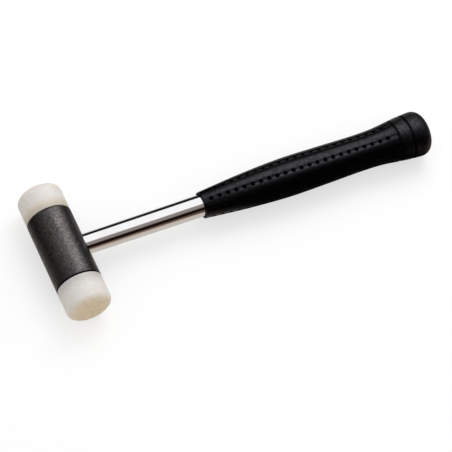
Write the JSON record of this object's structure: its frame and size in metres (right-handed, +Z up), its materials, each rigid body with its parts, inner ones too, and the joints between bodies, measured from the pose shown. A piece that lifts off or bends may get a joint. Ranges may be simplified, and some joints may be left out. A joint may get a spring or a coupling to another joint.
{
  "type": "soft face hammer",
  "caption": "Soft face hammer for striking without marks: steel head, screwed-in nylon faces, chromed tube handle and dotted rubber grip.",
  "frame": {"origin": "on the bench under the middle of the hammer, which lies on its side on its head and knob", "axes": "+X along the handle from the head to the grip's end, +Y along the head towards the right tip, +Z up"},
  "size_m": [0.32, 0.106, 0.035],
  "materials": {
    "black_steel": "blackened, satin",
    "nylon": "natural, slightly translucent",
    "chrome": "bright",
    "plain_steel": "plain",
    "black_rubber": "moulded, satin"
  },
  "bodies": {
    "hammer": {"head_body": "black_steel", "handle_tube": "chrome", "tube_plug": "plain_steel", "lock_pin": "plain_steel", "grip": "black_rubber"},
    "right_tip": {"right_tip": "nylon"},
    "left_tip": {"left_tip": "nylon"}
  },
  "joints": [
    {"name": "right_tip_unscrew", "type": "slide", "parent": "hammer", "child": "right_tip", "axis": [0, 1, 0], "range_m": [0, 0.016]},
    {"name": "left_tip_unscrew", "type": "slide", "parent": "hammer", "child": "left_tip", "axis": [0, -1, 0], "range_m": [0, 0.016]}
  ]
}
